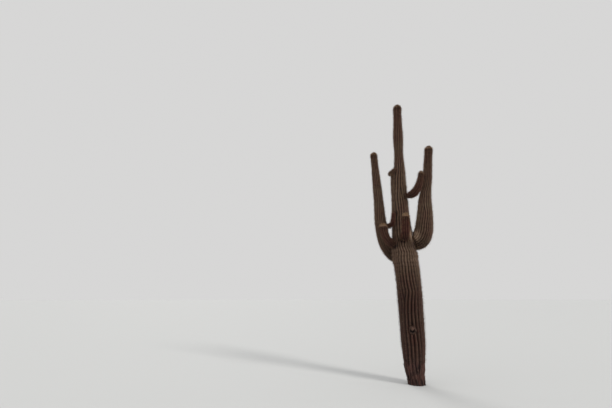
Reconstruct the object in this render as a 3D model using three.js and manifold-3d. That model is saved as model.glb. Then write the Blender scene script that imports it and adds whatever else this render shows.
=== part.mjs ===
// A saguaro cactus, rooted in the ground: one tall trunk with six arms, an arm bud and a callused scar.
// Every limb is solid flesh of round section, out to the crests of its ribs.
// Millimetres, +Z up. The origin is the middle of the trunk's flat cut at ground level.
// -Y faces the viewer and +X is to the viewer's right.
import * as THREE from "three";
import { mergeVertices } from "three/addons/utils/BufferGeometryUtils.js";
import Module from "manifold-3d";

const GAP = 0.3; // left between pieces that touch
const TRUNK_SIDES = 32;
const TRUNK_RINGS = 36;
const DOME_RINGS = 4; // in the rounded tip of a limb
const RUN_STEPS = 12; // to each given place of a smooth run
const WELD = 1e-3; // points closer than this are one

// The trunk from the ground up: height, diameter over the ribs, and how far its middle leans to +X.
// It is narrow and woody at the foot, widest where the arms leave it, and drawn in above each flush of arms.
const TRUNK = [
  { height: 0, diameter: 338, lean: 0 },
  { height: 75, diameter: 320, lean: -2 },
  { height: 300, diameter: 392, lean: -12 },
  { height: 700, diameter: 448, lean: -2 },
  { height: 1500, diameter: 478, lean: 4 },
  { height: 2150, diameter: 496, lean: -12 },
  { height: 2340, diameter: 522, lean: -36 },
  { height: 2500, diameter: 524, lean: -38 },
  { height: 2800, diameter: 432, lean: -50 },
  { height: 3150, diameter: 390, lean: -58 },
  { height: 3550, diameter: 346, lean: -56 },
  { height: 4190, diameter: 312, lean: -44 },
  { height: 4400, diameter: 234, lean: -6 },
  { height: 4720, diameter: 190, lean: 4 },
  { height: 5160, diameter: 212, lean: 18 },
  { height: 5520, diameter: 180, lean: 34 },
  { height: 5880, diameter: 168, lean: 52 },
];
const TRUNK_TIP = 5975;

// Each arm leaves the trunk's middle at its root height, towards its bearing.
// Bearing 0 is +X, and 270 is the viewer's side.
// Its axis then passes points given as reach from the root, height, and sway to the left of the bearing.
// The diameters are spread along its length by share, and it is split at the bend, where split is its share.
// A young arm has new skin all over.
const ARMS = {
  arm_left: {
    bearing: 174, root: 2300, sides: 26, rings: [8, 16], split: 0.32,
    axis: [[265, 2457, -90], [374, 2613, -65], [436, 2816, -32], [462, 3080], [490, 3757], [536, 4858]],
    diameters: [
      [0, 205], [0.1, 212], [0.2, 232], [0.38, 246], [0.56, 204], [0.72, 184], [0.86, 154], [1, 142],
    ],
  },
  arm_right: {
    bearing: 356, root: 2662, sides: 28, rings: [12, 16], split: 0.3,
    axis: [
      [236, 2710, 95], [339, 2774, 75], [414, 2902, 40], [451, 3063, 14],
      [483, 3278], [526, 3675], [604, 4078], [698, 4815],
    ],
    diameters: [
      [0, 270], [0.09, 300], [0.14, 366], [0.2, 378], [0.3, 342],
      [0.46, 282], [0.58, 220], [0.7, 186], [0.9, 166], [1, 160],
    ],
  },
  arm_upper_right: {
    young: true, bearing: 334, root: 3702, sides: 20, rings: [8, 8], split: 0.52,
    axis: [[202, 3722], [256, 3724], [340, 3749], [423, 3828], [484, 3943], [521, 4077], [544, 4184]],
    diameters: [
      [0, 104], [0.22, 108], [0.34, 150], [0.46, 164], [0.6, 150], [0.75, 116], [0.88, 98], [1, 90],
    ],
  },
  arm_front_left: {
    young: true, bearing: 215, root: 2635, sides: 20, rings: [8, 7], split: 0.55,
    axis: [[235, 2662], [330, 2715], [410, 2810], [455, 2920], [471, 3085]],
    diameters: [[0, 128], [0.3, 132], [0.5, 156], [0.85, 156], [1, 150]],
  },
  arm_front: {
    young: true, bearing: 280, root: 2785, sides: 22, rings: [8, 8], split: 0.46,
    axis: [[215, 2785, -6], [310, 2795, -8], [380, 2865, -4], [402, 2970, 4], [416, 3240, 26]],
    diameters: [[0, 122], [0.25, 130], [0.4, 154], [0.75, 142], [1, 130]],
  },
  arm_drooping: {
    young: true, bearing: 236, root: 3350, sides: 18, rings: [9, 8], split: 0.56,
    axis: [
      [201, 3327, -21], [248, 3261, -9], [263, 3187, -12], [264, 3119, -34],
      [262, 3074, -76], [255, 3064, -135], [250, 3080, -222],
    ],
    diameters: [[0, 64], [0.38, 66], [0.6, 78], [0.82, 90], [1, 84]],
  },
};

// The arm bud is a short limb of one piece.
const BUD = {
  bearing: 215, root: 4335, sides: 22, rings: [9],
  axis: [[103, 4320, 38], [173, 4281, 26], [218, 4246, 12], [257, 4219, 2]],
  diameters: [[0, 128], [0.45, 124], [0.7, 104], [0.9, 82], [1, 74]],
};

// The scar is a corky lens that stands out of the trunk's front.
const SCAR = { height: 982, wide: 104, tall: 96, deep: 50, sunk: 4, across: 18, up: 12 };

const SKIN = new THREE.MeshStandardMaterial({ color: 0x5c4c3c, roughness: 0.7, metalness: 0 });
const YOUNG_SKIN = new THREE.MeshStandardMaterial({ color: 0x523127, roughness: 0.7, metalness: 0 });
const CORK = new THREE.MeshStandardMaterial({ color: 0x4c382f, roughness: 0.9, metalness: 0 });

const wasm = await Module();
wasm.setup();

// A smooth run through [place, value] pairs, read at a place.
function smoothRun(pairs) {
  const curve = new THREE.SplineCurve(pairs.map(([place, value]) => new THREE.Vector2(place, value)));
  const steps = curve.getPoints(pairs.length * RUN_STEPS);
  return (place) => {
    const next = Math.max(1, steps.findIndex((p) => p.x >= place));
    const [a, b] = place > steps.at(-1).x ? steps.slice(-2) : [steps[next - 1], steps[next]];
    return THREE.MathUtils.lerp(a.y, b.y, (place - a.x) / (b.x - a.x));
  };
}

const trunkDiameter = smoothRun(TRUNK.map((s) => [s.height, s.diameter]));
const trunkLean = smoothRun(TRUNK.map((s) => [s.height, s.lean]));

// Half an outline for a lathe: a flat cut at the start, the sides, and a rounded tip or a second flat cut.
// A length of limb is its own share of the whole, and grow thickens it evenly.
function outline({ radius, start, end, rings, domed, grow = 0 }) {
  const shoulder = domed ? end - radius(end) : end;
  const points = [new THREE.Vector2(0, start)];
  for (let i = 0; i <= rings; i++) {
    const along = THREE.MathUtils.lerp(start, shoulder, i / rings);
    points.push(new THREE.Vector2(radius(along) + grow, along));
  }
  for (let i = 1; domed && i < DOME_RINGS; i++) {
    const turn = (i / DOME_RINGS) * (Math.PI / 2);
    const reach = radius(shoulder) * Math.cos(turn) + grow;
    points.push(new THREE.Vector2(reach, shoulder + (end + grow - shoulder) * Math.sin(turn)));
  }
  points.push(new THREE.Vector2(0, end + (domed ? grow : 0)));
  return points;
}

// Carries each vertex of a lathe-turned limb, which stands along +Y, to its place round the axis.
function bend(geometry, frameAt) {
  const position = geometry.attributes.position;
  const vertex = new THREE.Vector3();
  for (let i = 0; i < position.count; i++) {
    vertex.fromBufferAttribute(position, i);
    const { middle, side, out } = frameAt(vertex.y);
    vertex.copy(middle.clone().addScaledVector(side, vertex.z).addScaledVector(out, vertex.x));
    position.setXYZ(i, vertex.x, vertex.y, vertex.z);
  }
  geometry.computeVertexNormals();
  return geometry;
}

function trunkGeometry(grow = 0) {
  const profile = outline({
    radius: (height) => trunkDiameter(height) / 2,
    start: 0, end: TRUNK_TIP, rings: TRUNK_RINGS, domed: true, grow,
  });
  const frameAt = (height) => ({
    middle: new THREE.Vector3(trunkLean(height), 0, height),
    side: new THREE.Vector3(0, 1, 0),
    out: new THREE.Vector3(-1, 0, 0),
  });
  return bend(new THREE.LatheGeometry(profile, TRUNK_SIDES), frameAt);
}

// The middle line of an arm, from the trunk's middle to its tip.
function armAxis({ bearing, root, axis }) {
  const turn = THREE.MathUtils.degToRad(bearing);
  const out = new THREE.Vector3(Math.cos(turn), Math.sin(turn), 0);
  const left = new THREE.Vector3(-Math.sin(turn), Math.cos(turn), 0);
  const place = ([reach, height, sway = 0]) =>
    new THREE.Vector3(trunkLean(root), 0, height).addScaledVector(out, reach).addScaledVector(left, sway);
  return { line: new THREE.CatmullRomCurve3([[0, root], ...axis].map(place)), left };
}

// The stretch of an arm between two shares of its length.
function armGeometry(arm, from, to, rings) {
  const { line, left } = armAxis(arm);
  const length = line.getLength();
  const diameterAt = smoothRun(arm.diameters);
  const profile = outline({
    radius: (along) => diameterAt(along / length) / 2,
    start: from * length, end: to * length, rings, domed: to === 1,
  });
  const frameAt = (along) => {
    const share = THREE.MathUtils.clamp(along / length, 0, 1);
    const ahead = line.getTangentAt(share);
    const out = left.clone().cross(ahead).normalize();
    return { middle: line.getPointAt(share), side: out.clone().cross(ahead), out };
  };
  return bend(new THREE.LatheGeometry(profile, arm.sides), frameAt);
}

function solidFrom(geometry) {
  const bare = geometry.clone();
  bare.deleteAttribute("normal");
  bare.deleteAttribute("uv");
  const merged = mergeVertices(bare, WELD);
  return new wasm.Manifold(
    new wasm.Mesh({
      numProp: 3,
      vertProperties: merged.attributes.position.array,
      triVerts: new Uint32Array(merged.index.array),
    }),
  );
}

function geometryFrom(solid) {
  const { vertProperties, triVerts } = solid.getMesh();
  const geometry = new THREE.BufferGeometry();
  geometry.setAttribute("position", new THREE.BufferAttribute(vertProperties, 3));
  geometry.setIndex(new THREE.BufferAttribute(triVerts, 1));
  geometry.computeVertexNormals();
  return geometry;
}

// The trunk with the gap round it, which is cut out of whatever grows from it.
const cutter = solidFrom(trunkGeometry(GAP));
const clearOfTrunk = (geometry) => geometryFrom(solidFrom(geometry).subtract(cutter));

const cactus = new THREE.Group();

function add(name, geometry, material) {
  const mesh = new THREE.Mesh(geometry, material);
  mesh.name = name;
  cactus.add(mesh);
}

add("trunk", trunkGeometry(), SKIN);

for (const [name, arm] of Object.entries(ARMS)) {
  const gapShare = GAP / armAxis(arm).line.getLength();
  const [footRings, columnRings] = arm.rings;
  const skin = arm.young ? YOUNG_SKIN : SKIN;
  add(`${name}_foot`, clearOfTrunk(armGeometry(arm, 0, arm.split, footRings)), skin);
  add(`${name}_column`, armGeometry(arm, arm.split + gapShare, 1, columnRings), skin);
}

add("arm_bud", clearOfTrunk(armGeometry(BUD, 0, 1, BUD.rings[0])), YOUNG_SKIN);

const lens = new THREE.SphereGeometry(0.5, SCAR.across, SCAR.up);
lens.scale(SCAR.wide, SCAR.deep, SCAR.tall);
lens.translate(trunkLean(SCAR.height), SCAR.sunk - trunkDiameter(SCAR.height) / 2, SCAR.height);
add("scar", clearOfTrunk(lens), CORK);

export default cactus;
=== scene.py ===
"""A saguaro cactus over its packed limbs: ribbed skin, corky foot and scar, felt pads and spines."""

import math
from typing import NamedTuple

import bmesh
import bpy
import numpy as np
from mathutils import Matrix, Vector


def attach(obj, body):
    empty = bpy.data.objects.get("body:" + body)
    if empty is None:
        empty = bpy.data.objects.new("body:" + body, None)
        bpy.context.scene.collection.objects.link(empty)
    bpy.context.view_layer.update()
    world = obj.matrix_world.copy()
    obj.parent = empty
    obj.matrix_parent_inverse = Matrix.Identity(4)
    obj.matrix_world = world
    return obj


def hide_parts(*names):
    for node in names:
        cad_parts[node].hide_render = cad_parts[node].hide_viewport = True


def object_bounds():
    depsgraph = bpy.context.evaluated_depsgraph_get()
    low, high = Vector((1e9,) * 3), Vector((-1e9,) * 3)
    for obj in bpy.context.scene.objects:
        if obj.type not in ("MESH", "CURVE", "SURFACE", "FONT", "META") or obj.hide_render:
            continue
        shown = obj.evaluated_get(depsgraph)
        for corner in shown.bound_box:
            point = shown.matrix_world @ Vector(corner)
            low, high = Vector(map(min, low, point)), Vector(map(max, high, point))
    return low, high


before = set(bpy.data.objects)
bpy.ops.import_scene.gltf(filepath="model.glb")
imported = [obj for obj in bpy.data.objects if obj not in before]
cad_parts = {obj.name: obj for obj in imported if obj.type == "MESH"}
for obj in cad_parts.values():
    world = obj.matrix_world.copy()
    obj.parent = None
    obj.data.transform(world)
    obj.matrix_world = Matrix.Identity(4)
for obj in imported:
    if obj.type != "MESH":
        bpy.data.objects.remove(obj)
cad_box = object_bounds()

MM = 0.001
TAU = 2 * math.pi
SEED = 41

# The camera stands at eye height and looks up at the plant, which it holds right of the middle.
CAMERA_PLACE = (0.0, -7.472, 1.585)
CAMERA_PITCH = 15.45
CAMERA_TURNED_LEFT = 16.40
LENS = 20.0
SENSOR = 36.0

# Soft studio suns: the way to each, its strength, its colour and how wide it looks, in degrees.
SUNS = {
    "key": ((0.86, -0.42, 0.62), 1.9, (1.0, 0.97, 0.93), 14),
    "fill": ((-0.75, -0.75, 0.35), 0.28, (1.0, 0.93, 0.90), 60),
    "back": ((-0.55, 0.85, 0.60), 0.9, (1.0, 0.97, 0.95), 30),
}
SKY = (0.985, 0.98, 0.975, 1.0)
SKY_STRENGTH = 0.69
FLOOR = (0.543, 0.555, 0.555, 1.0)
FLOOR_RADIUS = 400
FLOOR_SIDES = 128

# The trunk from the ground up, in millimetres: height, diameter over the ribs, and lean to +X.
TRUNK = [
    (0, 338, 0),
    (75, 320, -2),
    (300, 392, -12),
    (700, 448, -2),
    (1500, 478, 4),
    (2150, 496, -12),
    (2340, 522, -36),
    (2500, 524, -38),
    (2800, 432, -50),
    (3150, 390, -58),
    (3550, 346, -56),
    (4190, 312, -44),
    (4400, 234, -6),
    (4720, 190, 4),
    (5160, 212, 18),
    (5520, 180, 34),
    (5880, 168, 52),
]
TRUNK_TIP = 5975

# How many ribs the trunk has at some heights.
TRUNK_RIBS = [
    (0, 17),
    (350, 18),
    (1100, 20),
    (1500, 22),
    (2100, 25),
    (2500, 27),
    (2900, 21),
    (3700, 18),
    (4420, 15),
]

# The arms leave the trunk's middle at their root height, towards their bearing: 0 is +X, 270 the viewer.
# Their axes pass points given as reach, height and sway to the left of the bearing, in millimetres.
# Diameters and numbers of ribs are spread along the length by share.
# The looks of a limb are how many metres are new growth and how red that is, how pale the cap on its tip is,
# and how dark the painted shade is in the crease where it leaves the trunk.
TRUNK_LOOKS = {"young": (1.5, 0.5), "cap": 0.25, "fold": 1}
ARMS = {
    "arm_left": {
        "bearing": 174,
        "root": 2300,
        "axis": [
            (265, 2457, -90),
            (374, 2613, -65),
            (436, 2816, -32),
            (462, 3080, 0),
            (490, 3757, 0),
            (536, 4858, 0),
        ],
        "diameters": [
            (0, 205),
            (0.1, 212),
            (0.2, 232),
            (0.38, 246),
            (0.56, 204),
            (0.72, 184),
            (0.86, 154),
            (1, 142),
        ],
        "ribs": [(0, 17), (0.4, 17), (0.7, 14), (0.95, 13)],
        "looks": {"young": (0.9, 0.45), "cap": 0.25, "fold": 1.4},
    },
    "arm_right": {
        "bearing": 356,
        "root": 2662,
        "axis": [
            (236, 2710, 95),
            (339, 2774, 75),
            (414, 2902, 40),
            (451, 3063, 14),
            (483, 3278, 0),
            (526, 3675, 0),
            (604, 4078, 0),
            (698, 4815, 0),
        ],
        "diameters": [
            (0, 270),
            (0.09, 300),
            (0.14, 366),
            (0.2, 378),
            (0.3, 342),
            (0.46, 282),
            (0.58, 220),
            (0.7, 186),
            (0.9, 166),
            (1, 160),
        ],
        "ribs": [(0, 19), (0.12, 23), (0.3, 23), (0.48, 19), (0.62, 16), (0.9, 14)],
        "looks": {"young": (1.2, 0.45), "cap": 0.4, "fold": 1.4},
    },
    "arm_upper_right": {
        "bearing": 334,
        "root": 3702,
        "axis": [
            (202, 3722, 0),
            (256, 3724, 0),
            (340, 3749, 0),
            (423, 3828, 0),
            (484, 3943, 0),
            (521, 4077, 0),
            (544, 4184, 0),
        ],
        "diameters": [
            (0, 104),
            (0.22, 108),
            (0.34, 150),
            (0.46, 164),
            (0.6, 150),
            (0.75, 116),
            (0.88, 98),
            (1, 90),
        ],
        "ribs": [(0, 12)],
        "looks": {"young": (3, 0.75), "cap": 0.35, "fold": 1.5},
    },
    "arm_front_left": {
        "bearing": 215,
        "root": 2635,
        "axis": [(235, 2662, 0), (330, 2715, 0), (410, 2810, 0), (455, 2920, 0), (471, 3085, 0)],
        "diameters": [(0, 128), (0.3, 132), (0.5, 156), (0.85, 156), (1, 150)],
        "ribs": [(0, 13)],
        "looks": {"young": (2, 0.7), "cap": 0.55, "fold": 1},
    },
    "arm_front": {
        "bearing": 280,
        "root": 2785,
        "axis": [(215, 2785, -6), (310, 2795, -8), (380, 2865, -4), (402, 2970, 4), (416, 3240, 26)],
        "diameters": [(0, 122), (0.25, 130), (0.4, 154), (0.75, 142), (1, 130)],
        "ribs": [(0, 13)],
        "looks": {"young": (4, 1), "cap": 1, "fold": 1.5},
    },
    "arm_drooping": {
        "bearing": 236,
        "root": 3350,
        "axis": [
            (201, 3327, -21),
            (248, 3261, -9),
            (263, 3187, -12),
            (264, 3119, -34),
            (262, 3074, -76),
            (255, 3064, -135),
            (250, 3080, -222),
        ],
        "diameters": [(0, 64), (0.38, 66), (0.6, 78), (0.82, 90), (1, 84)],
        "ribs": [(0, 10)],
        "looks": {"young": (4, 1), "cap": 0.1, "fold": 1},
    },
    "arm_bud": {
        "bearing": 215,
        "root": 4335,
        "axis": [(103, 4320, 38), (173, 4281, 26), (218, 4246, 12), (257, 4219, 2)],
        "diameters": [(0, 128), (0.45, 124), (0.7, 104), (0.9, 82), (1, 74)],
        "ribs": [(0, 12)],
        "looks": {"young": (4, 0.45), "cap": 0, "fold": 0.3},
    },
}

# The meshes.
BODY_SAMPLES = 600  # of an outline along a limb
TIP_SAMPLES = 40  # and round its tip
TRUNK_SAMPLES = 500  # along the trunk's middle line
TRUNK_ROW = 0.018  # from ring to ring, in metres
ARM_ROW = 0.012
RIPPLE_PACES = (0.5, 1.3)  # how many waves there are to each lump's size
TINY = 1e-9

# The ribs. A wave is given by its height and its pace, in radians a metre.
RIB = np.array([-1, -0.88, -0.66, -0.42, -0.2, 0, 0.2, 0.42, 0.66, 0.88])  # points from furrow to furrow
RIB_SHARPNESS = 1.1
FURROW_DEPTH = 0.56  # as a share of the rib's width
FURROW_FILL = 0.35  # how much of that the corky foot fills
RANK_SPREAD = 0.08  # how unevenly they take turns to end
WIDTH_WAVE = (0.10, 2.3)  # by share of a rib's width
TURN_WAVE = (0.05, 1.7)  # round the axis, in radians

# The skin's relief, in metres.
LUMPS = 0.0035  # how far it swells and sinks
LUMP_SIZE = 0.35
SMALL_LUMPS = 0.5  # as a share of the large ones
SMALL_LUMP_SIZE = 0.09
CORK_LUMPS = 0.006
CORK_LUMP_SIZE = 0.035
CORK_GRAIN = (1, 1, 0.4)  # draws the cork's lumps out upwards
FULL_RADIUS = 0.05  # a limb is smoother where it is thinner than this
BAND = 0.0038  # how far each year's growth is drawn in where it ends
BAND_WIDTH = 0.013
BAND_GAPS = (0.06, 0.14)
MOST_BANDS = 90
BEND_ROOM = 0.85  # how much of a bend's radius the skin on its inner side may fill
LEAST_BEND = 0.01
CRUMPLED = (2.12, 2.72)  # the stretch of trunk whose ribs are creased across below the arms
CRUMPLED_EASE = 0.3  # the share of it that each end takes to fade
NOTCH = 0.018  # how deep those creases are
NOTCH_GAP = 0.105  # between two of them
NOTCH_SHIFT = 2.6  # how far they are out of step from rib to rib

# Where an arm leaves the trunk, it is drawn in and given painted shade. Sizes are radii of its root, slopes
# are how much the skin faces up, and above is how much of the crease and its painted shade there is over the
# arm. The painted shade on the underside reaches out by at least so many metres.
BARE_ROOT = 0.45  # the share of the stretch inside the trunk that has no skin
PINCH = 0.022  # how far the arm is drawn in, in metres
MOST_PINCH = 0.3  # the same by share of its radius
PINCH_REACH = 0.028  # how far out from the trunk that goes
FOLD_REACH = 0.05  # how far out the painted shade of the crease goes
FOLD = {"slopes": (0.5, -0.4), "sizes": (1, 3), "above": 0.2}
# The painted shade on an arm's underside near its root: the slopes that get it, between which sizes it ends,
# how far out it reaches at least, and how dark it is.
UNDERSIDE_SHADE = {"slopes": (0.1, -0.6), "sizes": (0.8, 2.4), "least": 0.26, "dark": 0.55}

# How the arm's root shows on the trunk, by share of its radius: the size of its knot, how far the skin
# swells and how deep the crease about it is. Push is how hard the knot pushes the ribs aside.
# The painted shade in the crease about it is placed in sizes of the knot.
ROOT = {"size": 1.15, "push": 0.55, "swell": 0.16, "crease": 0.17}
ROOT_FOLD_SHADE = {"sizes": (0.9, 1.6), "heights": (0.5, -0.6), "above": 0.3}
CREASE_WIDTH = 0.28
LEAST_ROOT = 0.05  # in metres

# Where colours change on the skin. Heights are in metres, and distances below a tip in its radii.
FOOT = (0.15, 0.80)  # between these heights cork gives way to skin
FOOT_STRAY = 0.10
AGED = ((0.85, (1.5, 2.3)), (0.15, (2.3, 3.2)))  # how much of the dark of age goes between which heights
FULL_YOUTH = 0.2  # the share of the new growth that has all of its red
CAP = (0.95, 1.5)
RING = {"below": 1.8, "width": 0.5}

# A painted highlight in the fork of the right arm: pale skin where its upturned side catches the light.
FORK_HIGHLIGHT_PLACE = np.array([0.188, -0.128, 2.850])
FORK_HIGHLIGHT_SIZE = np.array([0.088, 0.090, 0.100])
FORK_HIGHLIGHT_STRENGTH = 1.8

# The scar low on the front: a nub in a hollow, in metres. Across and up are half its width and height.
# The lip and the rim are placed by share of the way out from the middle.
SCAR = {
    "height": 0.985,
    "across": 0.092,
    "up": 0.104,
    "nub": {"up": 0.022, "across": 0.028, "tall": 0.038, "proud": 0.026},
    "hollow": {"up": -0.016, "across": 0.050, "tall": 0.036, "deep": 0.040},
    "lip": {"out": 0.55, "wide": 0.10, "proud": 0.007},
    "rim": {"out": 0.5, "deep": 0.060},
    # The patch above the nub that gets painted shade, and how dark that painted shade is.
    "fold": {"up": 0.130, "across": 0.050, "tall": 0.042},
    "fold_dark": 0.7,
    "stain": {"up": -0.170, "across": 0.062, "tall": 0.130},
    "push": 0.35,  # how hard it pushes the ribs aside
    "sunk": 0.085,  # how far the skin sinks behind it
}
SCAR_RINGS = 44
SCAR_SIDES = 84
SCAR_WAVES = ((0.05, 3, 1), (0.04, 5, 2))  # in its outline: how high, how many, and their shift
SCAR_LUMPS = ((0.0030, 0.034), (0.0014, 0.012))  # how high and how large

# Areoles, in metres: the gap from pad to pad on the tip, and how much wider it gets between two distances
# below the tip.
PAD_GAP = 0.013
WIDER_GAPS = ((0.013, (0.03, 0.35)), (0.006, (1.5, 3.5)))
GAP_SAMPLES = 2000
LAST_GAP = 0.3  # at least, from the last pad to the very tip, in gaps
PAD_STRAY = 0.12  # up or down, in gaps
LEAST_STRENGTH = 0.55  # of a rib that carries pads
PAD_SIDES = 6
PAD_HALF_TALL = 0.0058
PAD_HALF_WIDE = 0.0042
PAD_PROUD = 0.0032
PAD_LIFT = 0.0005  # above the crest
PAD_CLEAR = 0.004  # of the trunk
SLOPE_STEP = 0.004  # up and down the crest, to find its slope
TIP_PADS = (1, 1.6)  # radii below the tip between which their pale felt ends
LEAST_TIP = 0.3  # of it where the cap isn't pale
PALE_PAD = 0.2  # a pad on a tip at least this pale is a young one

# Spines, in metres, and how far they lean from straight out, in radians.
SPINES_A_PAD = 17
MORE_ON_TIP = 6
MORE_ON_YOUNG = 3
FEWER_ON_BARE = 13
CENTRAL_SHARE = 0.3
CENTRAL = {"leans": (0.05, 0.75), "lengths": (0.024, 0.042), "thick": 0.0011}
RADIAL = {"leans": (0.95, 1.45), "lengths": (0.011, 0.022), "thick": 0.0008}
LESS_LEAN = 0.25  # on tips and new skin
OLD_LONGER = 0.3
BARE_SHORTER = 0.25
BARE_HEIGHTS = (0.25, 0.9)  # the foot has lost spines up to these heights
OLD_HEIGHTS = (0.9, 3.2)  # spines are old up to these
SPINE_OFFSET = 0.003  # from the middle of the pad
OFF_LINE = 0.3  # tilts the line from which the corners of a spine are set out
LOWEST_SPINE = 0.004  # above the ground
BOX_SLACK = {"share": 0.03, "metres": 0.010, "used": 0.9}  # how far they may reach past the solids' box
SHORTEST_SPINE = 0.05  # what is left, by share, of one that would reach past that
MOST_TRIANGLES = 190_000  # in one joined piece

# Colours as the screen shows them, red, green and blue from 0 to 255.
COLOURS = {
    "ridge": (102, 84, 66),
    "ridge_brown": (95, 66, 54),
    "furrow": (44, 34, 28),
    "furrow_brown": (41, 30, 26),
    "speckle": (120, 99, 83),
    "young_ridge": (80, 40, 31),
    "young_furrow": (35, 14, 12),
    "cap": (192, 160, 136),
    "bark_dark": (20, 12, 12),
    "bark_light": (84, 57, 51),
    # The painted highlight in the fork of the right arm.
    "fork_highlight": (186, 157, 134),
    "callus_dark": (46, 32, 28),
    "callus_light": (92, 69, 58),
    "nub": (100, 75, 65),
    # The scar's hollow is painted near black: painted shade.
    "hollow": (16, 9, 8),
    "felt_young": (172, 145, 118),
    "felt_old": (92, 80, 68),
    "straw": (154, 128, 98),
    "russet": (93, 53, 39),
    "grey": (93, 74, 64),
    "dark": (42, 29, 24),
}

# What is left of each colour where the skin is aged, stained, has painted shade, in a band or in the ring
# below a cap.
TINTS = {
    "aged": (0.52, 0.40, 0.39),
    "stain": (0.88, 0.58, 0.60),
    "shade": (0.24, 0.17, 0.16),
    "band": (0.70, 0.63, 0.63),
    "ring": (0.62, 0.56, 0.56),
}

# The kinds of spine, and the share of each kind on the tips and on new, grown and old skin.
SPINE_KINDS = ("straw", "russet", "grey", "dark")
SPINE_SHARES = {
    "tip": (0.80, 0.12, 0.00, 0.08),
    "new": (0.14, 0.62, 0.00, 0.24),
    "grown": (0.34, 0.24, 0.27, 0.15),
    "old": (0.06, 0.10, 0.64, 0.20),
}

# Noise in the materials: its scale, its detail, and the two levels that become 0 and 1.
NOISES = {
    "furrow": (5, 4, 0.35, 0.65),
    "ridge": (3.5, 4, 0.35, 0.65),
    "speckle": (45, 4, 0.55, 0.75),
    "bark": (40, 6, 0.42, 0.60),
    "cork_edge": (18, 4, 0.35, 0.65),
    "streaks": (30, 4, 0.1, 0.5),
    "grain": (130, 6, 0.35, 0.65),
    "cracks": (55, 5, 0.35, 0.65),
    "callus": (60, 8, 0.40, 0.60),
    "callus_grain": (110, 8, 0.35, 0.65),
}
EVEN = (1, 1, 1)
UPRIGHT = (1, 1, 0.12)  # draws noise out upwards

# How much there is of some things in the materials, by share.
SHARES = {"speckle": 0.35, "crumpled": 0.6, "cork_edge": 0.5, "grain": 0.15, "nub": 0.7}
CORK_LEVELS = (0.55, 0.95)  # between these it turns from skin to cork
FURROW_HIGHLIGHT = 0.45  # how much of the painted highlight in the fork a furrow gets beside a crest
SPECULAR = 0.25
ROUGHNESS = {"skin": 0.66, "cork": 0.9, "callus": 0.9, "felt": 0.95, "spine": 0.6, "floor": 0.95}
BUMPS = {"skin": (0.8, 0.008), "callus": (0.9, 0.007)}  # how strong they are and how high, in metres

# Where a mix node for colours takes its amount and its colours, and where it gives the mix.
MIX_INPUTS = (0, 6, 7)
MIX_OUTPUT = 2

# The marks that a skin's mesh carries for its material.
MARKS = ("crest", "cork", "young", "aged", "stain", "cap", "ring", "band", "shade", "fork_highlight", "crumpled")


# Shapes


def smoothstep(low, high, x):
    share = np.clip((x - low) / (high - low), 0, 1)
    return share * share * (3 - 2 * share)


def least(low, x):
    """Shares from 0 to 1 squeezed into low to 1."""
    return low + (1 - low) * x


def catmull_rom(points, power, steps=24):
    """A dense line through the points, its knots spaced by distance to that power."""
    points = np.asarray(points, float)
    ends = (2 * points[0] - points[1], 2 * points[-1] - points[-2]) if power else (points[0], points[-1])
    knots = np.vstack([ends[0], points, ends[1]])
    t = np.arange(steps)[:, None] / steps
    runs = []
    for before, a, b, after in zip(knots, knots[1:], knots[2:], knots[3:]):
        g0, g1, g2 = (np.linalg.norm(q - p) ** power for p, q in ((before, a), (a, b), (b, after)))
        leave = g1 * ((a - before) / g0 - (b - before) / (g0 + g1) + (b - a) / g1)
        arrive = g1 * ((b - a) / g1 - (after - a) / (g1 + g2) + (after - b) / g2)
        square = 3 * (b - a) - 2 * leave - arrive
        cubic = 2 * (a - b) + leave + arrive
        runs.append(a + leave * t + square * t**2 + cubic * t**3)
    return np.vstack([*runs, points[-1:]])


def smooth_run(pairs):
    """A smooth run through (place, value) pairs, read at places."""
    line = catmull_rom(pairs, power=0)
    return lambda places: np.interp(places, line[:, 0], line[:, 1])


def ripple(size, rng, waves=8):
    """Smooth uneven noise, mostly from -1 to 1, with lumps of that size: a function of points."""
    ways = rng.normal(size=(waves, 3))
    paces = rng.uniform(*RIPPLE_PACES, waves)
    ways *= (TAU / size * paces / np.linalg.norm(ways, axis=1))[:, None]
    shifts = rng.uniform(0, TAU, waves)
    return lambda points: np.sin(points @ ways.T + shifts).sum(-1) / math.sqrt(waves)


def wave(run, phase, height, pace):
    return height * np.sin(run * pace + phase)


def fork_highlight(points):
    """How much painted highlight the skin gets at points about the fork of the right arm."""
    away = np.linalg.norm((points - FORK_HIGHLIGHT_PLACE) / FORK_HIGHLIGHT_SIZE, axis=-1)
    return np.clip(FORK_HIGHLIGHT_STRENGTH * np.exp(-(away**2)), 0, 1)


class Knot(NamedTuple):
    """A place on a limb where the ribs part round a swelling of that size, with a crease about it that gets
    painted shade.
    """

    turn: float
    run: float
    radius: float
    size: float
    push: float
    swell: float
    crease: float
    fold: float


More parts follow.
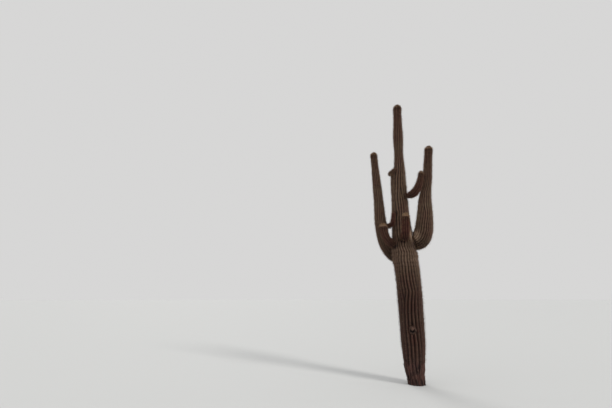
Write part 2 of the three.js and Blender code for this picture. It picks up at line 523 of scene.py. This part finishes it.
class Limb:
    """A ribbed limb. A place on it is a run up its outline, in metres, and a turn round its axis."""

    def __init__(self, name, line, left, diameters, ribs, looks, trunk=None):
        self.name = name
        self.trunk = trunk
        self.young = looks["young"]
        self.cap = looks["cap"]
        self.fold = looks["fold"]
        self.rng = np.random.default_rng([SEED, len(name), *name.encode()])
        self.line = line
        self.length = np.concatenate([[0], np.cumsum(np.linalg.norm(np.diff(line, axis=0), axis=1))])
        self.set_outline(smooth_run(diameters))
        self.set_rings(left)
        self.numbers = np.array(ribs, float).T
        self.set_ranks()
        self.lumps = ripple(LUMP_SIZE, self.rng)
        self.small_lumps = ripple(SMALL_LUMP_SIZE, self.rng)
        self.cork_lumps = ripple(CORK_LUMP_SIZE, self.rng)
        self.bands = np.cumsum(self.rng.uniform(*BAND_GAPS, MOST_BANDS))
        self.knots = []
        self.set_root()

    def set_outline(self, diameter_at):
        """Distance along the axis and radius over the ribs, from the root to the middle of the round tip."""
        whole = self.length[-1]
        tip = diameter_at(1.0) * MM / 2
        body = np.linspace(0, whole - tip, BODY_SAMPLES)
        turn = np.linspace(0, math.pi / 2, TIP_SAMPLES)[1:]
        shoulder = diameter_at(1 - tip / whole) * MM / 2
        self.along = np.concatenate([body, whole - tip + tip * np.sin(turn)])
        self.radius = np.concatenate([diameter_at(body / whole) * MM / 2, shoulder * np.cos(turn)])
        steps = np.hypot(np.diff(self.along), np.diff(self.radius))
        self.run = np.concatenate([[0], np.cumsum(steps)])
        self.end = self.run[-1]
        self.tip_size = shoulder

    def set_rings(self, left):
        """Two directions that span the ring at each point of the axis. With no left, the rings stay level."""
        ahead = np.gradient(self.line, self.length, axis=0)
        self.ahead = ahead / np.linalg.norm(ahead, axis=1)[:, None]
        self.bend = np.gradient(self.ahead, self.length, axis=0)
        if left is None:
            self.out = np.tile((1.0, 0.0, 0.0), (len(self.line), 1))
            self.side = np.tile((0.0, 1.0, 0.0), (len(self.line), 1))
            self.bend[:] = 0
            return
        out = np.cross(self.ahead, left)
        self.out = out / np.linalg.norm(out, axis=1)[:, None]
        self.side = np.cross(self.ahead, self.out)

    def set_ranks(self):
        """Ribs of the highest rank end first, and successive ranks lie far apart round the limb."""
        golden = (math.sqrt(5) - 1) / 2
        self.most = int(self.numbers[1].max())
        spread = (np.arange(self.most) * golden + self.rng.uniform()) % 1
        spread += self.rng.uniform(-RANK_SPREAD, RANK_SPREAD, self.most)
        self.rank = np.argsort(np.argsort(spread))
        self.phase = self.rng.uniform(0, TAU, self.most)

    def set_root(self):
        """Where the skin starts: at the ground for the trunk, and inside the trunk for an arm."""
        if self.trunk is None:
            self.start = 0.0
            return
        outside = self.trunk.clearance(self.line) > 0
        self.emerges = self.length[np.argmax(outside)]
        self.start = BARE_ROOT * self.emerges
        self.root_size = float(np.interp(self.emerges, self.along, self.radius))

    def at(self, table, run):
        along = np.interp(run, self.run, self.along)
        return np.stack([np.interp(along, self.length, column) for column in table.T], -1)

    def radius_at(self, run):
        return np.interp(run, self.run, self.radius)

    def number_at(self, run):
        share = np.interp(run, self.run, self.along) / self.length[-1]
        return np.interp(share, *self.numbers)

    def ribs(self, run):
        """For each run: the turn at which each rib starts, its width in turn, and how much of it there is."""
        strength = np.clip(self.number_at(run)[:, None] - self.rank, 0, 1)
        weight = strength * (1 + wave(run[:, None], self.phase, *WIDTH_WAVE))
        width = weight / weight.sum(1)[:, None] * TAU
        start = np.cumsum(width, 1) - width
        even = np.arange(self.most) * TAU / self.most
        start += (even - start).mean(1)[:, None]
        start += wave(run, self.phase[0], *TURN_WAVE)[:, None]
        return start, width, strength

    def furrow(self, run):
        """How deep a furrow is. They are shallower on the corky foot and die out on the very tip."""
        depth = FURROW_DEPTH * TAU * self.radius_at(run) / self.number_at(run)
        return depth * (1 - FURROW_FILL * self.foot(run))

    def foot(self, run):
        return 1 - smoothstep(*FOOT, run) if self.trunk is None else 0 * run

    def crumpled(self, run):
        """How much the weight of the arms has crumpled the trunk."""
        if self.trunk is not None:
            return 0 * run
        low, high = CRUMPLED
        ease = CRUMPLED_EASE * (high - low)
        return smoothstep(low, low + ease, run) * (1 - smoothstep(high - ease, high, run))

    def notch(self, run, rib):
        """How deep creases cut across a rib where it is crumpled."""
        crease = np.sin(TAU * run / NOTCH_GAP + NOTCH_SHIFT * self.phase[rib])
        return NOTCH * self.crumpled(run) * np.clip(crease, 0, 1) ** 2

    def place(self, run, turn, inset):
        """Points on the skin that lie inset below its outline, and the directions outward from the axis."""
        turn = turn + self.parting(run, turn)
        way = np.cos(turn)[..., None] * self.at(self.out, run)
        way = way + np.sin(turn)[..., None] * self.at(self.side, run)
        centre = self.at(self.line, run)
        radius = self.radius_at(run)
        full = np.clip(radius / FULL_RADIUS, 0, 1)
        relief = full * self.uneven(centre + radius[..., None] * way, run)
        reach = radius - inset + self.swelling(run, turn) + relief
        inward = np.einsum("...k,...k", self.at(self.bend, run), way)
        reach = np.minimum(reach, BEND_ROOM / np.maximum(inward, LEAST_BEND))
        points = centre + reach[..., None] * way
        if self.trunk is not None:
            pinch = np.minimum(PINCH, MOST_PINCH * reach) * self.joint(points, way, run, PINCH_REACH)
            points -= pinch[..., None] * way
        return points, way

    def uneven(self, points, run):
        lumps = self.lumps(points) + SMALL_LUMPS * self.small_lumps(points)
        skin = LUMPS * lumps - BAND * self.drawn_in(run)
        return skin + CORK_LUMPS * self.foot(run) * self.cork_lumps(points * CORK_GRAIN)

    def drawn_in(self, run):
        return np.exp(-(((run[..., None] - self.bands) / BAND_WIDTH) ** 2)).sum(-1)

    def joint(self, points, way, run, reach):
        """How much points of an arm lie in the crease, of that reach, at the trunk: most of all below it, and
        least where the fork has its painted highlight. Used both to draw the arm in and for the painted shade
        in the crease.
        """
        outside = np.clip(self.trunk.clearance(points), 0, None)
        under = smoothstep(*FOLD["slopes"], way[..., 2]) * (1 - fork_highlight(points))
        near = self.near_root(run, FOLD["sizes"])
        return near * least(FOLD["above"], under) * np.exp(-((outside / reach) ** 2))

    def near_root(self, run, sizes, least_far=0):
        """1 on the skin that leaves the trunk, down to 0 between two distances from there, in root sizes."""
        near, far = (size * self.root_size for size in sizes)
        return 1 - smoothstep(self.emerges + near, self.emerges + max(far, least_far), run)

    def clearance(self, points):
        """How far points lie outside this upright limb, measured level."""
        run = np.interp(points[..., 2], self.along, self.run)
        x, y, _ = np.moveaxis(points - self.at(self.line, run), -1, 0)
        return np.hypot(x, y) - self.radius_at(run)

    def near(self, run, turn, knot):
        """Distances round and up from a knot in the skin, in units of the knot's size."""
        away = (turn - knot.turn + math.pi) % TAU - math.pi
        return away * knot.radius / knot.size, (run - knot.run) / knot.size

    def parting(self, run, turn):
        """How far the ribs are pushed aside in turn where they pass an arm's root or the scar."""
        total = np.zeros(np.broadcast(run, turn).shape)
        for knot in self.knots:
            across, up = self.near(run, turn, knot)
            push = knot.push * knot.size / knot.radius
            total += push * across * np.exp(-(across**2 + up**2) / 2)
        return total

    def swelling(self, run, turn):
        total = np.zeros(np.broadcast(run, turn).shape)
        for knot in self.knots:
            away = np.hypot(*self.near(run, turn, knot))
            crease = knot.crease * np.exp(-(((away - 1) / CREASE_WIDTH) ** 2))
            total += knot.swell * np.exp(-(away**2) / 2) - crease
        return total

    def youth(self, run):
        length, most = self.young
        return most * (1 - smoothstep(FULL_YOUTH * length, length, self.end - run))


def make_trunk():
    lean = smooth_run([(height, lean) for height, _, lean in TRUNK])
    height = np.linspace(0, TRUNK_TIP, TRUNK_SAMPLES)
    line = np.stack([lean(height), 0 * height, height], 1) * MM
    diameters = [(height / TRUNK_TIP, diameter) for height, diameter, _ in TRUNK]
    ribs = [(height / TRUNK_TIP, number) for height, number in TRUNK_RIBS]
    return Limb("trunk", line, None, diameters, ribs, TRUNK_LOOKS)


def make_arm(name, arm, trunk):
    bearing = math.radians(arm["bearing"])
    out = np.array([math.cos(bearing), math.sin(bearing), 0])
    left = np.array([-math.sin(bearing), math.cos(bearing), 0])
    root = trunk.at(trunk.line, arm["root"] * MM)
    points = [root]
    for reach, height, sway in arm["axis"]:
        points.append(root * (1, 1, 0) + MM * (reach * out + sway * left + np.array([0, 0, height])))
    line = catmull_rom(points, power=0.5)
    return Limb(name, line, left, arm["diameters"], arm["ribs"], arm["looks"], trunk)


def root_knot(trunk, limb):
    """The trunk's ribs part round an arm's root, and its skin swells towards it."""
    x, y, z = (np.interp(limb.emerges, limb.length, column) for column in limb.line.T)
    run = np.interp(z, trunk.along, trunk.run)
    middle = trunk.at(trunk.line, run)
    size = max(limb.root_size, LEAST_ROOT)
    return Knot(
        turn=math.atan2(y - middle[1], x - middle[0]),
        run=run,
        radius=trunk.radius_at(run),
        size=ROOT["size"] * size,
        push=ROOT["push"],
        swell=ROOT["swell"] * size,
        crease=ROOT["crease"] * size,
        fold=limb.fold,
    )


def scar_knot(trunk):
    """The ribs part round the scar, and the skin sinks behind its hollow."""
    run = np.interp(SCAR["height"], trunk.along, trunk.run)
    return Knot(
        turn=-math.pi / 2,
        run=run,
        radius=trunk.radius_at(run),
        size=SCAR["across"] / 2,
        push=SCAR["push"],
        swell=-SCAR["sunk"],
        crease=0,
        fold=0,
    )


# Meshes


def mesh_object(name, points, faces, smooth=True, **attributes):
    mesh = bpy.data.meshes.new(name)
    mesh.vertices.add(len(points))
    mesh.vertices.foreach_set("co", np.ascontiguousarray(points, np.float32).ravel())
    corners = np.concatenate([np.asarray(f, np.int32).ravel() for f in faces])
    sizes = np.concatenate([np.full(len(f), np.shape(f)[1], np.int32) for f in faces])
    mesh.loops.add(len(corners))
    mesh.loops.foreach_set("vertex_index", corners)
    mesh.polygons.add(len(sizes))
    mesh.polygons.foreach_set("loop_start", np.cumsum(sizes) - sizes)
    mesh.polygons.foreach_set("loop_total", sizes)
    mesh.polygons.foreach_set("use_smooth", np.full(len(sizes), smooth))
    for key, values in attributes.items():
        mesh.attributes.new(key, "FLOAT", "POINT").data.foreach_set("value", np.float32(values))
    mesh.update(calc_edges=True)
    piece = bpy.data.objects.new(name, mesh)
    bpy.context.scene.collection.objects.link(piece)
    return piece


def merge_points(piece, distance=2e-5):
    """Joins the points of ribs that have run out, and turns every face outward."""
    work = bmesh.new()
    work.from_mesh(piece.data)
    bmesh.ops.remove_doubles(work, verts=work.verts, dist=distance)
    bmesh.ops.recalc_face_normals(work, faces=work.faces)
    work.to_mesh(piece.data)
    work.free()


def grid_faces(index):
    """Quads between the rows of a grid of point numbers that closes on itself across."""
    beside = np.roll(index, -1, 1)
    return np.stack([index[:-1], beside[:-1], beside[1:], index[1:]], -1).reshape(-1, 4)


def rib_profile(across):
    return np.cos(across * math.pi / 2) ** RIB_SHARPNESS


def make_skin(limb):
    row = TRUNK_ROW if limb.trunk is None else ARM_ROW
    rows = np.linspace(limb.start, limb.end, round((limb.end - limb.start) / row))
    start, width, strength = limb.ribs(rows)
    turn = start[..., None] + width[..., None] * (RIB + 1) / 2
    crest = strength[..., None] * rib_profile(RIB)
    notch = limb.notch(rows[:, None], np.arange(limb.most))[..., None]
    inset = limb.furrow(rows)[:, None, None] * (1 - crest) + notch * crest
    turn, crest, inset = (grid.reshape(len(rows), -1) for grid in (turn, crest, inset))
    run = np.broadcast_to(rows[:, None], turn.shape)
    points, way = limb.place(run, turn, inset)
    if limb.trunk is None:
        points[0, :, 2] = 0
    index = np.arange(turn.size).reshape(turn.shape)
    foot = np.stack([np.full(turn.shape[1], index.size), np.roll(index, -1, 1)[0], index[0]], -1)
    marks = skin_marks(limb, points, way, run, turn)
    marks = {key: np.append(values, 0) for key, values in marks.items()}
    points = np.vstack([points.reshape(-1, 3), points[0].mean(0)])
    crest = np.append(crest.ravel(), 0)
    piece = mesh_object(f"{limb.name}_skin", points, [grid_faces(index), foot], crest=crest, **marks)
    merge_points(piece)
    return piece


def skin_marks(limb, points, way, run, turn):
    """How much each point of a skin shows of each kind of growth and stain, of painted highlight and of
    painted shade.
    """
    below = (limb.end - run) / limb.tip_size
    marks = {
        "young": limb.youth(run),
        "cap": limb.cap * (1 - smoothstep(*CAP, below)),
        "ring": np.exp(-(((below - RING["below"]) / RING["width"]) ** 2)),
        "band": np.clip(limb.drawn_in(run), 0, 1),
        "fork_highlight": fork_highlight(points),
        "crumpled": limb.crumpled(run),
    }
    if limb.trunk is None:
        marks["shade"] = trunk_shade(limb, points, run, turn)
        marks["stain"] = about_scar(points, "stain", sharp=4)
        marks.update(trunk_age(limb, run))
    else:
        marks["shade"] = arm_shade(limb, points, way, run)
        marks.update({name: 0 * run for name in ("stain", "cork", "aged")})
    return marks


def arm_shade(arm, points, way, run):
    """Painted shade in the crease round an arm's root, and on the underside of the arm near its root."""
    # The underside near the root gets painted shade.
    under = smoothstep(*UNDERSIDE_SHADE["slopes"], way[..., 2])
    under = under * arm.near_root(run, UNDERSIDE_SHADE["sizes"], UNDERSIDE_SHADE["least"])
    fold = arm.joint(points, way, run, FOLD_REACH)
    return np.clip(arm.fold * np.maximum(fold, UNDERSIDE_SHADE["dark"] * under), 0, 1)


def trunk_shade(trunk, points, run, turn):
    """Painted shade in the creases about the arms' roots, deepest below them, and in a patch above the scar.
    """
    shade = 0 * run
    for knot in trunk.knots:
        across, up = trunk.near(run, turn, knot)
        fold = 1 - smoothstep(*ROOT_FOLD_SHADE["sizes"], np.hypot(across, up))
        under = smoothstep(*ROOT_FOLD_SHADE["heights"], up)
        shade = np.maximum(shade, knot.fold * fold * least(ROOT_FOLD_SHADE["above"], under))
    return np.clip(np.maximum(shade, SCAR["fold_dark"] * about_scar(points, "fold")), 0, 1)


def trunk_age(trunk, run):
    """How corky and how aged the trunk's skin is. Its lumps, read by height, make the cork end unevenly."""
    stray = FOOT_STRAY * trunk.lumps(run[..., None] * np.ones(3))
    aged = 1 - sum(share * smoothstep(*heights, run) for share, heights in AGED)
    return {"cork": trunk.foot(run + stray), "aged": aged}


def about_scar(points, name, sharp=2):
    """How much the points of the trunk's front lie in one of the marks round the scar."""
    return bump(points[..., 0], points[..., 2] - SCAR["height"], SCAR[name], sharp) * (points[..., 1] < 0)


def bump(x, z, shape, sharp=2):
    """A smooth bump of height 1 over an oval place at the scar."""
    oval = np.hypot(x / shape["across"], (z - shape["up"]) / shape["tall"])
    return np.exp(-(oval**sharp))


def make_scar(trunk):
    """A corky nub over a hollow, within a low callused lip."""
    rho = np.linspace(0, 1, SCAR_RINGS)[:, None]
    angle = np.arange(SCAR_SIDES)[None] * TAU / SCAR_SIDES
    outline = 1 + sum(wave(angle, shift, height, number) for height, number, shift in SCAR_WAVES)
    x = rho * outline * SCAR["across"] * np.cos(angle)
    z = rho * outline * SCAR["up"] * np.sin(angle)
    nub, hollow, lip, rim = (SCAR[name] for name in ("nub", "hollow", "lip", "rim"))
    raised = bump(x, z, nub, sharp=4)
    sunk = bump(x, z, hollow, sharp=5) * (1 - raised)
    lip_height = lip["proud"] * np.exp(-(((rho - lip["out"]) / lip["wide"]) ** 2))
    rim_depth = rim["deep"] * smoothstep(rim["out"], 1, rho)
    height = lip_height - hollow["deep"] * sunk + nub["proud"] * raised - rim_depth
    radius = trunk.radius_at(SCAR["height"])
    middle = trunk.at(trunk.line, SCAR["height"])[0]
    points = np.stack([x + middle, -np.sqrt(radius**2 - x**2) - height, z + SCAR["height"]], -1)
    rng = np.random.default_rng(SEED)
    points[..., 1] -= sum(high * ripple(size, rng)(points) for high, size in SCAR_LUMPS)
    index = np.arange(x.size).reshape(x.shape)
    edge = index[-1]
    back = np.stack([edge, np.roll(edge, -1), np.full(SCAR_SIDES, index.size)], -1)
    # depth carries the painted shade of the hollow to its material, and proud the paler nub.
    marks = {"depth": np.append(sunk, 0), "proud": np.append(raised, 0)}
    points = np.vstack([points.reshape(-1, 3), points[-1].mean(0)])
    piece = mesh_object("scar_callus", points, [grid_faces(index)[:, ::-1], back], **marks)
    merge_points(piece)
    return piece


# Felt pads and spines


def areoles(limb):
    """Each felt pad along the crests: its middle, its outward and upward ways, and its kind of skin."""
    run = np.linspace(0, limb.end, GAP_SAMPLES)
    gap = PAD_GAP
    for wider, metres in WIDER_GAPS:
        gap = gap + wider * smoothstep(*metres, limb.end - run)
    count = np.concatenate([[0], np.cumsum(np.diff(run) / gap[1:])])
    found = []
    for rib in range(limb.most):
        wanted = np.arange(limb.rng.uniform(0, 1), count[-1] - LAST_GAP)
        wanted += limb.rng.uniform(-PAD_STRAY, PAD_STRAY, len(wanted))
        places = np.interp(wanted, count, run)
        start, width, strength = limb.ribs(places)
        turn = start[:, rib] + width[:, rib] / 2
        keep = strength[:, rib] > LEAST_STRENGTH
        found.append(np.stack([places, turn, strength[:, rib], limb.notch(places, rib)], 1)[keep])
    run, turn, strength, notch = np.vstack(found).T
    inset = limb.furrow(run) * (1 - strength) + notch - PAD_LIFT
    points, way = limb.place(run, turn, inset)
    higher, _ = limb.place(np.minimum(run + SLOPE_STEP, limb.end), turn, inset)
    lower, _ = limb.place(run - SLOPE_STEP, turn, inset)
    up = higher - lower
    up /= np.maximum(np.linalg.norm(up, axis=1), TINY)[:, None]
    out = way - np.einsum("ij,ij->i", way, up)[:, None] * up
    out /= np.linalg.norm(out, axis=1)[:, None]
    keep = points[:, 2] > 2 * PAD_HALF_TALL
    if limb.trunk is not None:
        keep &= limb.trunk.clearance(points) > PAD_CLEAR
    below = (limb.end - run) / limb.tip_size
    tip = least(LEAST_TIP, limb.cap) * (1 - smoothstep(*TIP_PADS, below))
    all_found = {"middle": points, "out": out, "up": up, "tip": tip, "young": limb.youth(run)}
    return {key: values[keep] for key, values in all_found.items()}


def pad_points(middle, out, up):
    """Low domes of felt: the points round each, then its top."""
    side = np.cross(out, up)
    angle = (np.arange(PAD_SIDES) * TAU / PAD_SIDES)[:, None, None]
    ring = np.cos(angle) * up * PAD_HALF_TALL + np.sin(angle) * side * PAD_HALF_WIDE
    return np.concatenate([middle + ring, (middle + PAD_PROUD * out)[None]]).transpose(1, 0, 2)


PAD_FACES = np.array([(k, (k + 1) % PAD_SIDES, PAD_SIDES) for k in range(PAD_SIDES)])


def spine_points(rng, middle, out, up, length, lean, thick):
    """Three-sided spikes that leave their pads at a lean from straight out, any way round."""
    side = np.cross(out, up)
    round_pad = rng.uniform(0, TAU, len(middle))[:, None]
    flat = np.cos(round_pad) * up + np.sin(round_pad) * side
    way = np.cos(lean)[:, None] * out + np.sin(lean)[:, None] * flat
    across = np.cross(way, up + OFF_LINE * side)
    across /= np.linalg.norm(across, axis=1)[:, None]
    third = np.cross(way, across)
    root = middle + SPINE_OFFSET * flat
    corners = []
    for angle in (0, TAU / 3, 2 * TAU / 3):
        corners.append(root + thick[:, None] * (math.cos(angle) * across + math.sin(angle) * third))
    return np.stack([*corners, root + length[:, None] * way], 1)


SPINE_FACES = np.array([(0, 1, 3), (1, 2, 3), (2, 0, 3)])


def keep_inside(spikes):
    """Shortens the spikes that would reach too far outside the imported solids' box, or into the ground."""
    low, high = (np.array(corner) for corner in cad_box)
    margin = BOX_SLACK["used"] * (BOX_SLACK["share"] * (high - low) + BOX_SLACK["metres"])
    low, high = low - margin, high + margin
    low[2] = LOWEST_SPINE
    root = spikes[:, :3].mean(1)
    way = spikes[:, 3] - root
    room = np.where(way > 0, high - root, root - low) / np.maximum(abs(way), TINY)
    spikes[:, 3] = root + np.clip(room.min(1), SHORTEST_SPINE, 1)[:, None] * way
    return spikes


def drawn(rng, central, measure):
    """A random lean or length for each spine, from the range of its sort."""
    count = len(central)
    return np.where(central, rng.uniform(*CENTRAL[measure], count), rng.uniform(*RADIAL[measure], count))


def grow_spines(pads, rng):
    """All spines, as the points of each spike and the number of its kind."""
    height = pads["middle"][:, 2]
    bare = 1 - smoothstep(*BARE_HEIGHTS, height)
    many = SPINES_A_PAD + MORE_ON_TIP * pads["tip"] + MORE_ON_YOUNG * pads["young"] - FEWER_ON_BARE * bare
    owner = np.repeat(np.arange(len(height)), np.round(many).astype(int))
    tip = pads["tip"][owner]
    new = (1 - tip) * pads["young"][owner]
    old = (1 - tip - new) * (1 - smoothstep(*OLD_HEIGHTS, height[owner]))
    weights = {"tip": tip, "new": new, "grown": 1 - tip - new - old, "old": old}
    central = rng.uniform(size=len(owner)) < CENTRAL_SHARE
    lean = drawn(rng, central, "leans")
    lean *= 1 - LESS_LEAN * np.maximum(tip, new)
    long = drawn(rng, central, "lengths")
    long *= 1 + OLD_LONGER * old - BARE_SHORTER * bare[owner]
    thick = np.where(central, CENTRAL["thick"], RADIAL["thick"])
    places = (pads[key][owner] for key in ("middle", "out", "up"))
    spikes = spine_points(rng, *places, long, lean, thick)
    shares = sum(weight[:, None] * np.array(SPINE_SHARES[zone]) for zone, weight in weights.items())
    dice = rng.uniform(size=len(owner))[:, None]
    kind = (dice > np.cumsum(shares, 1)[:, :-1]).sum(1)
    return keep_inside(spikes), kind


# Materials


def new_material(name, roughness):
    material = bpy.data.materials.new(name)
    material.use_nodes = True
    shader = material.node_tree.nodes["Principled BSDF"]
    shader.inputs["Roughness"].default_value = roughness
    shader.inputs["Specular IOR Level"].default_value = SPECULAR
    return material, material.node_tree, shader


def add(tree, kind, **inputs):
    """A node with some inputs set or linked, by name with _ for a space."""
    node = tree.nodes.new(kind)
    for key, value in inputs.items():
        fill(tree, node.inputs[key.replace("_", " ")], value)
    return node


def fill(tree, socket, value):
    if isinstance(value, bpy.types.NodeSocket):
        tree.links.new(value, socket)
    else:
        socket.default_value = value


def colour(name):
    """A shader colour from its screen values, by the curve that screens use."""
    return (*(((c / 255 + 0.055) / 1.055) ** 2.4 for c in COLOURS[name]), 1.0)


def mix(tree, amount, a, b, blend="MIX"):
    node = tree.nodes.new("ShaderNodeMix")
    node.data_type = "RGBA"
    node.blend_type = blend
    for number, value in zip(MIX_INPUTS, (amount, a, b)):
        fill(tree, node.inputs[number], value)
    return node.outputs[MIX_OUTPUT]


def mixed(tree, amount, a, b):
    return mix(tree, amount, colour(a), colour(b))


def attribute(tree, name):
    node = tree.nodes.new("ShaderNodeAttribute")
    node.attribute_name = name
    return node.outputs["Fac"]


def spread(tree, value, **ends):
    return add(tree, "ShaderNodeMapRange", Value=value, **ends).outputs["Result"]


def noise(tree, place, name):
    """One of the named noises, from 0 to 1."""
    scale, detail, low, high = NOISES[name]
    made = add(tree, "ShaderNodeTexNoise", Vector=place, Scale=scale, Detail=detail)
    return spread(tree, made.outputs["Fac"], From_Min=low, From_Max=high)


def maths(tree, operation, a, b):
    node = tree.nodes.new("ShaderNodeMath")
    node.operation = operation
    for socket, value in zip(node.inputs, (a, b)):
        fill(tree, socket, value)
    return node.outputs[0]


def times(tree, a, b):
    return maths(tree, "MULTIPLY", a, b)


def tinted(tree, amount, base, name):
    """The base colour multiplied by a tint, by that amount."""
    return mix(tree, amount, base, (*TINTS[name], 1), blend="MULTIPLY")


def stretched(tree, scale):
    place = tree.nodes.new("ShaderNodeTexCoord").outputs["Object"]
    return add(tree, "ShaderNodeMapping", Vector=place, Scale=scale).outputs["Vector"]


def raise_grain(tree, shader, height, strength, distance):
    raised = add(tree, "ShaderNodeBump", Strength=strength, Distance=distance, Height=height)
    tree.links.new(raised.outputs["Normal"], shader.inputs["Normal"])


def flesh_colour(tree, even, mark):
    """Living skin: lighter along the ribs, redder where it is new, and darker low on the trunk."""
    furrow = mixed(tree, noise(tree, even, "furrow"), "furrow", "furrow_brown")
    ridge = mixed(tree, noise(tree, even, "ridge"), "ridge", "ridge_brown")
    flesh = mix(tree, mark["crest"], furrow, ridge)
    speckled = times(tree, noise(tree, even, "speckle"), SHARES["speckle"])
    flesh = mix(tree, speckled, flesh, colour("speckle"))
    pale = times(tree, mark["crest"], mark["crumpled"])
    flesh = mix(tree, times(tree, pale, SHARES["crumpled"]), flesh, colour("speckle"))
    fresh = mixed(tree, mark["crest"], "young_furrow", "young_ridge")
    flesh = mix(tree, mark["young"], flesh, fresh)
    for name in ("aged", "stain", "band", "ring"):
        flesh = tinted(tree, mark[name], flesh, name)
    return mix(tree, mark["cap"], flesh, colour("cap"))


def skin_material():
    material, tree, shader = new_material("cactus_skin", ROUGHNESS["skin"])
    mark = {name: attribute(tree, name) for name in MARKS}
    even = stretched(tree, EVEN)
    upright = stretched(tree, UPRIGHT)
    flesh = flesh_colour(tree, even, mark)
    bark = mixed(tree, noise(tree, upright, "bark"), "bark_dark", "bark_light")
    uneven = times(tree, noise(tree, even, "cork_edge"), SHARES["cork_edge"])
    low, high = CORK_LEVELS
    corky = spread(tree, maths(tree, "ADD", mark["cork"], uneven), From_Min=low, From_Max=high)
    skin = mix(tree, corky, flesh, bark)
    # Painted shade in the creases at the arms' roots, under the arms and above the scar.
    skin = tinted(tree, mark["shade"], skin, "shade")
    # A painted highlight in the fork of the right arm, streaked, and strongest on the crests.
    ridged = spread(tree, mark["crest"], To_Min=FURROW_HIGHLIGHT)
    streaks = times(tree, ridged, noise(tree, upright, "streaks"))
    skin = mix(tree, times(tree, mark["fork_highlight"], streaks), skin, colour("fork_highlight"))
    tree.links.new(skin, shader.inputs["Base Color"])
    rough = spread(tree, corky, To_Min=ROUGHNESS["skin"], To_Max=ROUGHNESS["cork"])
    tree.links.new(rough, shader.inputs["Roughness"])
    grain = times(tree, noise(tree, even, "grain"), SHARES["grain"])
    cracks = times(tree, noise(tree, upright, "cracks"), corky)
    raise_grain(tree, shader, maths(tree, "ADD", grain, cracks), *BUMPS["skin"])
    return material


def callus_material():
    material, tree, shader = new_material("scar_callus", ROUGHNESS["callus"])
    even = stretched(tree, EVEN)
    wood = mixed(tree, noise(tree, even, "callus"), "callus_dark", "callus_light")
    wood = mix(tree, times(tree, attribute(tree, "proud"), SHARES["nub"]), wood, colour("nub"))
    # Painted shade: the deeper in the hollow, the nearer black.
    dark = mix(tree, attribute(tree, "depth"), wood, colour("hollow"))
    tree.links.new(dark, shader.inputs["Base Color"])
    raise_grain(tree, shader, noise(tree, even, "callus_grain"), *BUMPS["callus"])
    return material


def plain_material(name, base, roughness):
    material, _, shader = new_material(name, roughness)
    shader.inputs["Base Color"].default_value = base
    return material


# The whole plant


def finish_piece(piece, material, nodes=()):
    piece.data.materials.append(material)
    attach(piece, "root")
    if nodes:
        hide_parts(*nodes)


def nodes_of(name):
    ends = ("", "_foot", "_column")
    return [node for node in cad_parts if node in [name + end for end in ends]]


def build_plant():
    trunk = make_trunk()
    arms = [make_arm(name, arm, trunk) for name, arm in ARMS.items()]
    trunk.knots = [root_knot(trunk, limb) for limb in arms]
    trunk.knots.append(scar_knot(trunk))
    skin = skin_material()
    for limb in [trunk, *arms]:
        nodes = nodes_of(limb.name)
        finish_piece(make_skin(limb), skin, nodes)
    finish_piece(make_scar(trunk), callus_material(), ["scar"])
    found = [areoles(limb) for limb in [trunk, *arms]]
    pads = {key: np.concatenate([part[key] for part in found]) for key in found[0]}
    build_pads(pads)
    build_spines(pads)


def build_joined(name, clusters, pattern, material):
    """Many like clusters of points, joined into pieces that share a pattern of faces."""
    pieces = max(1, math.ceil(len(clusters) * len(pattern) / MOST_TRIANGLES))
    for number, some in enumerate(np.array_split(clusters, pieces), 1):
        base = np.arange(len(some))[:, None, None] * clusters.shape[1]
        faces = (base + pattern).reshape(-1, 3)
        piece = mesh_object(f"{name}_{number}", some.reshape(-1, 3), [faces], smooth=False)
        finish_piece(piece, material)


def build_pads(pads):
    clusters = pad_points(pads["middle"], pads["out"], pads["up"])
    young = pads["tip"] > PALE_PAD
    for word, chosen in (("young", young), ("old", ~young)):
        felt = plain_material(f"felt_{word}", colour(f"felt_{word}"), ROUGHNESS["felt"])
        build_joined(f"pads_{word}", clusters[chosen], PAD_FACES, felt)


def build_spines(pads):
    spikes, kind = grow_spines(pads, np.random.default_rng(SEED))
    for number, word in enumerate(SPINE_KINDS):
        material = plain_material(f"spine_{word}", colour(word), ROUGHNESS["spine"])
        build_joined(f"spines_{word}", spikes[kind == number], SPINE_FACES, material)


# The stage


def add_camera():
    data = bpy.data.cameras.new("camera")
    data.lens = LENS
    data.sensor_width = SENSOR
    data.clip_end = 2 * FLOOR_RADIUS
    camera = bpy.data.objects.new("camera", data)
    camera.location = CAMERA_PLACE
    camera.rotation_euler = (math.radians(90 + CAMERA_PITCH), 0, math.radians(CAMERA_TURNED_LEFT))
    bpy.context.scene.collection.objects.link(camera)
    bpy.context.scene.camera = camera


def add_sun(name, towards, strength, tint, width):
    data = bpy.data.lights.new(name, "SUN")
    data.energy = strength
    data.color = tint
    data.angle = math.radians(width)
    light = bpy.data.objects.new(name, data)
    light.rotation_euler = Vector(towards).to_track_quat("Z", "Y").to_euler()
    bpy.context.scene.collection.objects.link(light)


def add_stage():
    bpy.ops.mesh.primitive_circle_add(vertices=FLOOR_SIDES, radius=FLOOR_RADIUS, fill_type="NGON")
    floor = bpy.context.object
    floor.name = "floor"
    floor.data.materials.append(plain_material("floor", FLOOR, ROUGHNESS["floor"]))
    world = bpy.data.worlds.new("studio")
    world.use_nodes = True
    world.node_tree.nodes["Background"].inputs["Color"].default_value = SKY
    world.node_tree.nodes["Background"].inputs["Strength"].default_value = SKY_STRENGTH
    bpy.context.scene.world = world
    bpy.context.scene.view_settings.view_transform = "Standard"
    for name, (towards, strength, tint, width) in SUNS.items():
        add_sun(name, towards, strength, tint, width)


add_camera()
add_stage()
build_plant()
